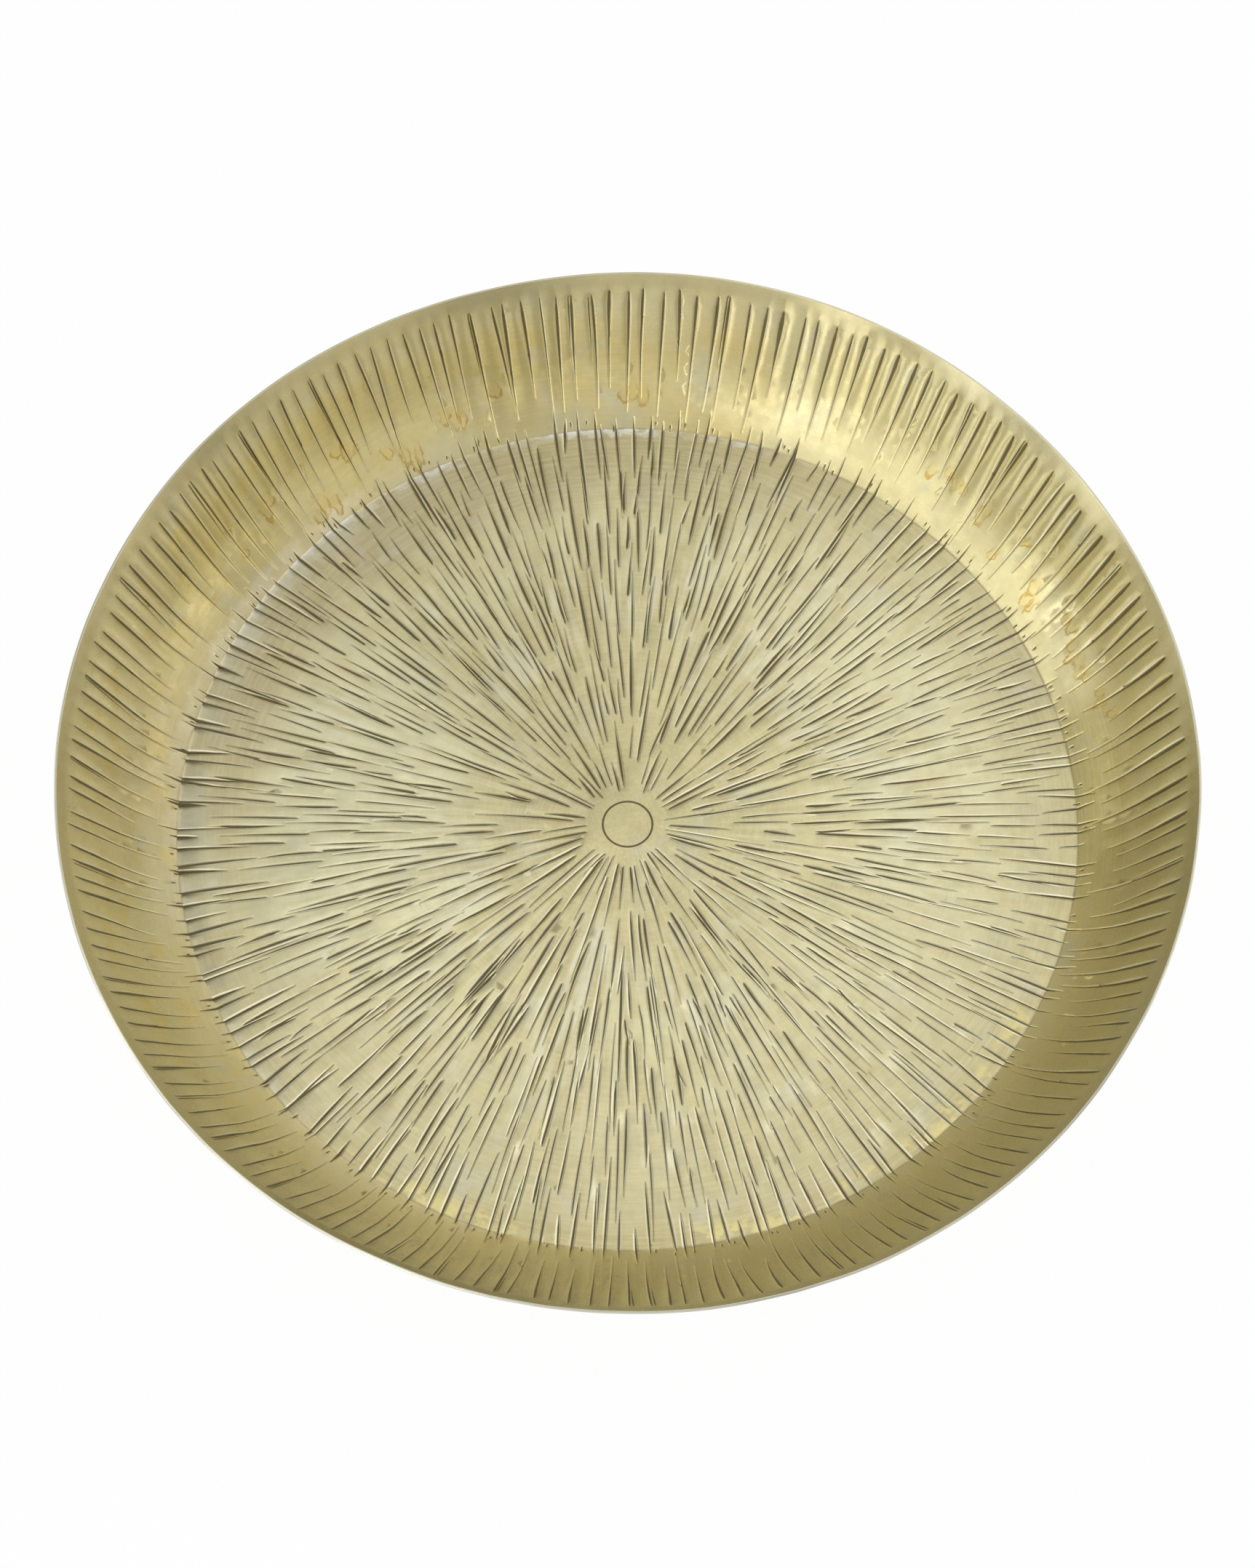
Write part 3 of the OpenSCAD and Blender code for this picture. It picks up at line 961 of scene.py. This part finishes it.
def brown_felt():
    n = Nodes("brown_felt")
    where = n.add("TexCoord").outputs["Object"]
    hairs = n.noise(where, 1400.0, 5.0, 0.75)
    colour = n.mix(n.ramp(hairs, 0.3, 0.7), rgb(0.035, 0.022, 0.013), rgb(0.12, 0.08, 0.05))
    bump = n.add("Bump", {"Height": hairs, "Strength": 0.8, "Distance": 0.0005})
    n.fill(n.shader, {"Base Color": colour, "Roughness": 0.95, "Sheen Weight": 0.4,
                      "Normal": bump.outputs[0]})
    return n.material


def adhesive_film():
    n = Nodes("adhesive_film")
    cloudy = n.noise(n.add("TexCoord").outputs["Object"], 300.0)
    colour = n.mix(cloudy, rgb(0.62, 0.56, 0.40), rgb(0.74, 0.69, 0.55))
    n.fill(n.shader, {"Base Color": colour, "Roughness": 0.4})
    return n.material


# Pieces
sheet = add_mesh("chased_pan", *chased_sheet())
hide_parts("tray_pan")
sheet.data.materials.append(aged_brass())

felt, film = brown_felt(), adhesive_film()
for i in range(1, PAD_COUNT + 1):
    pad = add_mesh(f"felt_{i}", *felt_disc(*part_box(f"felt_pad_{i}"), random.Random(FELT_SEED + i)))
    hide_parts(f"felt_pad_{i}")
    pad.data.materials.append(felt)
    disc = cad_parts[f"adhesive_disc_{i}"]
    disc.data.materials.clear()
    disc.data.materials.append(film)

# Stage, lights and camera, in metres
CAMERA_ELEVATION = math.radians(65.74)
CAMERA_DISTANCE = 2.03
CAMERA_LENS = 113.3
AIM_LIFT = 0.0395
LIT_WORLD = 0.55
LAMP_DISTANCE = 1.9
STAGE_HALF = 8.0


def stage_floor():
    """White paper, which the camera and reflections see as white as the background."""
    mesh = bpy.data.meshes.new("stage_floor")
    half = STAGE_HALF
    corners = [(-half, -half, 0), (half, -half, 0), (half, half, 0), (-half, half, 0)]
    mesh.from_pydata(corners, [], [(0, 1, 2, 3)])
    floor = bpy.data.objects.new("stage_floor", mesh)
    bpy.context.collection.objects.link(floor)
    n = Nodes("stage_white")
    path = n.add("LightPath")
    seen = n.math("MAXIMUM", n.math("MAXIMUM", path.outputs["Is Camera Ray"], path.outputs["Is Glossy Ray"]),
                  path.outputs["Is Transmission Ray"])
    paper = n.add("BsdfDiffuse", {"Color": rgb(0.92, 0.92, 0.92)})
    glow = n.add("Emission", {"Color": rgb(1, 1, 1), "Strength": 1.0})
    both = n.add("MixShader", {0: n.product(seen, 0.97), 1: paper.outputs[0], 2: glow.outputs[0]})
    n.tree.links.new(both.outputs[0], n.tree.nodes["Material Output"].inputs["Surface"])
    mesh.materials.append(n.material)


def studio_world():
    """A white background that lights the tray less than it shows."""
    world = bpy.data.worlds.new("studio")
    bpy.context.scene.world = world
    world.use_nodes = True
    tree = world.node_tree
    path = tree.nodes.new("ShaderNodeLightPath")
    strength = tree.nodes.new("ShaderNodeMapRange")
    strength.inputs["To Min"].default_value = LIT_WORLD
    strength.inputs["To Max"].default_value = 1.0
    tree.links.new(path.outputs["Is Camera Ray"], strength.inputs["Value"])
    background = tree.nodes["Background"]
    background.inputs["Color"].default_value = rgb(1, 1, 1)
    tree.links.new(strength.outputs["Result"], background.inputs["Strength"])


def soft_box(name, azimuth, elevation, width, height, radiance):
    """A rectangular lamp, with angles in degrees and a brightness in which 1 is the background's white."""
    light = bpy.data.lights.new(name, "AREA")
    light.shape = "RECTANGLE"
    light.size, light.size_y = width, height
    light.energy = radiance * math.pi * width * height
    lamp = bpy.data.objects.new(name, light)
    a, e = math.radians(azimuth), math.radians(elevation)
    aside = Vector((math.cos(e) * math.cos(a), math.cos(e) * math.sin(a), math.sin(e)))
    lamp.location = LAMP_DISTANCE * aside
    lamp.rotation_euler = (-lamp.location).to_track_quat("-Z", "Y").to_euler()
    bpy.context.collection.objects.link(lamp)


def photo_camera():
    """The photograph's own view: from the front, high above the floor's centre."""
    data = bpy.data.cameras.new("photo_camera")
    data.lens = CAMERA_LENS
    camera = bpy.data.objects.new("photo_camera", data)
    centre = Vector((0, 0, FLOOR_Z * MM))
    back = Vector((0, -math.cos(CAMERA_ELEVATION), math.sin(CAMERA_ELEVATION)))
    camera.location = centre + CAMERA_DISTANCE * back
    aim = centre + Vector((0, 0, AIM_LIFT))
    camera.rotation_euler = (aim - camera.location).to_track_quat("-Z", "Y").to_euler()
    bpy.context.collection.objects.link(camera)
    bpy.context.scene.camera = camera


stage_floor()
studio_world()
soft_box("overhead", 50, 76, 1.5, 1.5, 0.68)
soft_box("back_fill", 58, 20, 1.9, 1.2, 0.52)
soft_box("key_band", 209, 37, 2.6, 0.85, 1.1)
soft_box("key_core", 238, 36, 0.5, 0.9, 0.4)
soft_box("low_key_1", 236, 8, 0.34, 0.9, 2.0)
soft_box("low_key_2", 215, 7, 0.34, 0.9, 1.8)
soft_box("low_key_3", 190, 7, 0.38, 0.9, 1.8)
soft_box("left_fill", 161, 5, 0.75, 0.75, 1.0)
soft_box("front_fill", 266, 26, 1.1, 1.5, 0.42)
soft_box("right_front_fill", 318, 24, 1.2, 1.5, 0.38)
soft_box("right_fill", 10, 9, 1.1, 0.9, 0.82)
soft_box("right_key", 352, 6, 0.6, 0.8, 0.6)
photo_camera()
bpy.context.scene.view_settings.view_transform = "Standard"
